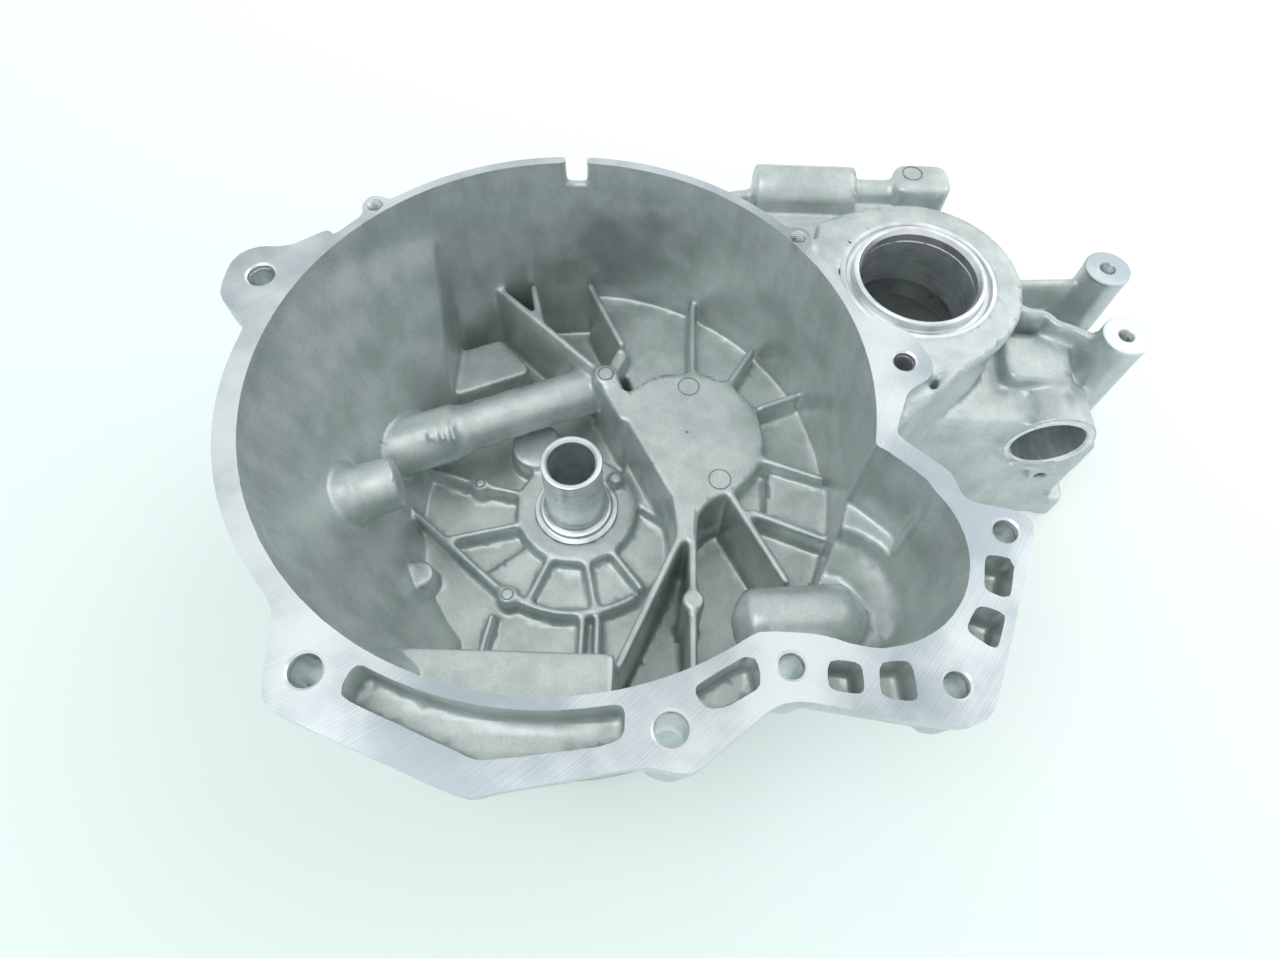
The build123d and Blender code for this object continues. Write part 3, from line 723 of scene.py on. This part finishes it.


# Rim of an ejector mark, darker all over: painted shade in the step round the mark
paintedShadeMarkLook = dict(castLook, dark=(0.16, 0.20, 0.20), light=(0.32, 0.37, 0.36))


def makeCastFinish(name, look):
    finish = Finish(name, look)
    cloud, grain = finish.noise(look["cloudSize"], 4.0), finish.noise(look["grainSize"], 3.0)
    flow = finish.noise(look["flowSize"], 4.0, (1.0, 1.0, 0.35))
    tone = (cloud * 0.5 + flow * 0.25 + grain * 0.25).between(0.36, 0.64)
    colour = finish.mix(tone, look["dark"], look["light"])
    # Painted shade: a darker patch round a place on the upper back wall, its edge frayed by the cloud
    # noise
    paintedShadeDistance = finish.distance(look["stainPlace"]) + (cloud - 0.5) * 60.0
    stain = paintedShadeDistance.between(look["stainSize"], look["stainSize"] * 0.25)
    colour = finish.mix(stain * 0.55, colour, look["stain"])
    dot = finish.distance(look["dotPlace"]).between(look["dotSize"], look["dotSize"] * 0.6)
    colour = finish.mix(dot * 0.85, colour, look["dot"])
    inSwirl = finish.distance(look["dotPlace"]).between(look["swirlSize"], look["swirlSize"] * 0.8)
    swirl = finish.toolMarks(look["dotPlace"], look["swirlPitch"]) * inSwirl
    skin, wave = finish.noise(look["skinSize"], 2.0), finish.noise(look["waveSize"], 3.0)
    height = skin * 0.5 + wave * 0.9 + swirl * 0.5
    return finish.close(colour, (cloud - 0.5) * 0.3 + look["roughness"], height, 0.4, 0.12)


# Milled faces: a large cutter went round a far centre, in mm
milledLook = {
    "dark": (0.34, 0.40, 0.43),
    "light": (0.66, 0.72, 0.74),
    "metallic": 0.9,
    "roughness": 0.34,
    "cutterCentre": (-310.0, 230.0, 0.0),
    "pitch": 0.45,
    "cloudSize": 70.0,
}


def makeMilledFinish(look):
    finish = Finish("MilledFace", look)
    marks = finish.toolMarks(look["cutterCentre"], look["pitch"])
    cloud = finish.noise(look["cloudSize"], 4.0)
    colour = finish.mix((marks * 0.22 + cloud * 0.78).between(0.36, 0.62), look["dark"], look["light"])
    return finish.close(colour, (cloud - 0.5) * 0.3 + look["roughness"], marks, 0.12, 0.02)


# Turned faces and bores, with rings along their axes
turnedLook = {
    "dark": (0.58, 0.62, 0.63),
    "light": (0.80, 0.84, 0.85),
    "metallic": 0.8,
    "roughness": 0.3,
    "markSize": 0.9,
    "cloudSize": 15.0,
}


def makeTurnedFinish(look):
    finish = Finish("TurnedFace", look)
    marks = finish.noise(look["markSize"], 2.0, (0.03, 0.03, 1.0))
    cloud = finish.noise(look["cloudSize"], 2.0)
    colour = finish.mix((marks * 0.4 + cloud * 0.6).between(0.36, 0.62), look["dark"], look["light"])
    return finish.close(colour, (cloud - 0.5) * 0.25 + look["roughness"], marks, 0.2, 0.02)


# Camera, worked out from the photograph: pixels, degrees and metres
cameraLook = {
    "photoWidth": 1280,
    "focalPixels": 795.0,
    "elevation": 61.52,
    "roll": 1.83,
    "place": (0.0393, -0.2218, 0.4770),
    "sensor": 36.0,
}


def makeCamera(look):
    elevation, roll = math.radians(look["elevation"]), math.radians(look["roll"])
    forward = Vector((0.0, math.cos(elevation), -math.sin(elevation)))
    up = Vector((0.0, math.sin(elevation), math.cos(elevation)))
    right = Vector((1.0, 0.0, 0.0))
    turnedRight = right * math.cos(roll) + up * math.sin(roll)
    turnedUp = up * math.cos(roll) - right * math.sin(roll)
    data = bpy.data.cameras.new("PhotoCamera")
    data.sensor_width = look["sensor"]
    data.lens = look["sensor"] * look["focalPixels"] / look["photoWidth"]
    data.clip_start, data.clip_end = 0.01, 20.0
    camera = linkPiece("PhotoCamera", data)
    turn = Matrix((turnedRight, turnedUp, -forward)).transposed()
    camera.matrix_world = Matrix.Translation(look["place"]) @ turn.to_4x4()
    scene.camera = camera


# World: white where it is seen or mirrored, and a pale fill for everything else
worldLook = {
    "fill": (0.92, 0.98, 0.99),
    "fillStrength": 0.83,
}


def makeWorld(look):
    world = bpy.data.worlds.new("StudioWorld")
    scene.world = world
    world.use_nodes = True
    nodes, links = world.node_tree.nodes, world.node_tree.links
    nodes.clear()
    paths = nodes.new("ShaderNodeLightPath")
    seen = Socket(world.node_tree, paths.outputs["Is Camera Ray"])
    mirrored = Socket(world.node_tree, paths.outputs["Is Glossy Ray"])
    through = Socket(world.node_tree, paths.outputs["Is Transmission Ray"])
    share = (seen + mirrored).maths("ADD", through, clamp=True)
    white, fill = nodes.new("ShaderNodeBackground"), nodes.new("ShaderNodeBackground")
    white.inputs["Color"].default_value = (1.0, 1.0, 1.0, 1.0)
    white.inputs["Strength"].default_value = 1.0
    fill.inputs["Color"].default_value = look["fill"] + (1.0,)
    fill.inputs["Strength"].default_value = look["fillStrength"]
    mix, output = nodes.new("ShaderNodeMixShader"), nodes.new("ShaderNodeOutputWorld")
    links.new(share.socket, mix.inputs["Fac"])
    links.new(fill.outputs[0], mix.inputs[1])
    links.new(white.outputs[0], mix.inputs[2])
    links.new(mix.outputs[0], output.inputs["Surface"])
    scene.view_settings.view_transform = "Standard"


# Broad lamps: the way the light goes, its spread in degrees, and strength
lampLook = {
    "HighSoft": {"way": (0.35, 0.25, -1.0), "spread": 42.0, "strength": 0.68},
    "SideSoft": {"way": (-0.9, -0.5, -0.8), "spread": 50.0, "strength": 0.5},
}


def makeLamp(name, look):
    data = bpy.data.lights.new(name, "SUN")
    data.angle = math.radians(look["spread"])
    data.energy = look["strength"]
    lamp = linkPiece(name, data)
    lamp.matrix_world = Vector(look["way"]).to_track_quat("-Z", "Y").to_matrix().to_4x4()


# Paper under the object: half width and height in metres, and painted light across it in mm, darker and
# more cyan at the near left and brighter at the far right
paperLook = {
    "half": 4.0,
    "height": -0.0002,
    # Near and far colours are painted light: the paper darker and more cyan at the front left, lighter
    # towards the back right
    "near": (0.84, 0.935, 0.905),
    "far": (0.97, 0.985, 0.98),
    "fadeFrom": -300.0,
    "fadeTo": 500.0,
    "metallic": 0.0,
}


def makePaper(look):
    half, height = look["half"], look["height"]
    corners = [(-half, -half, height), (half, -half, height), (half, half, height), (-half, half, height)]
    mesh = bpy.data.meshes.new("Paper")
    mesh.from_pydata(corners, [], [(0, 1, 2, 3)])
    finish = Finish("Paper", look)
    # Painted light: the paper's colour brightens from the near left to the far right
    paintedLightFade = finish.along((0.6, 0.8, 0.0)).between(look["fadeFrom"], look["fadeTo"])
    finish.tree.links.new(finish.mix(paintedLightFade, look["near"], look["far"]), finish.shader.inputs["Base Color"])
    finish.shader.inputs["Roughness"].default_value = 1.0
    mesh.materials.append(finish.material)
    linkPiece("Paper", mesh)


makeWorld(worldLook)
makeCamera(cameraLook)
for lampName, lamp in lampLook.items():
    makeLamp(lampName, lamp)
makePaper(paperLook)
print("stage made")

# The ejector mark finish is painted shade: its darker colours stand in for the shade in the steps of the
# rings
castFinish, paintedShadeMarkFinish = makeCastFinish("CastAluminium", castLook), makeCastFinish("EjectorMark", paintedShadeMarkLook)
milledFinish, turnedFinish = makeMilledFinish(milledLook), makeTurnedFinish(turnedLook)
points, triangles = nodeArrays(frame["nodes"]["housing"])
bores = readBores(points)
casting = buildCasting(points, triangles, bores, [castFinish, milledFinish, turnedFinish])
pieces = [
    casting,
    buildTube(bores, turnedFinish),
    buildLip(bores, turnedFinish),
    buildMouths(bores, points[:, 2].max(), turnedFinish),
    buildPostTops(bores, milledFinish),
    buildEjectorRings(ejectorForm, paintedShadeMarkFinish),
]
for piece in pieces:
    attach(piece, "root")
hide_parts("housing")
print("pieces made", len(pieces))
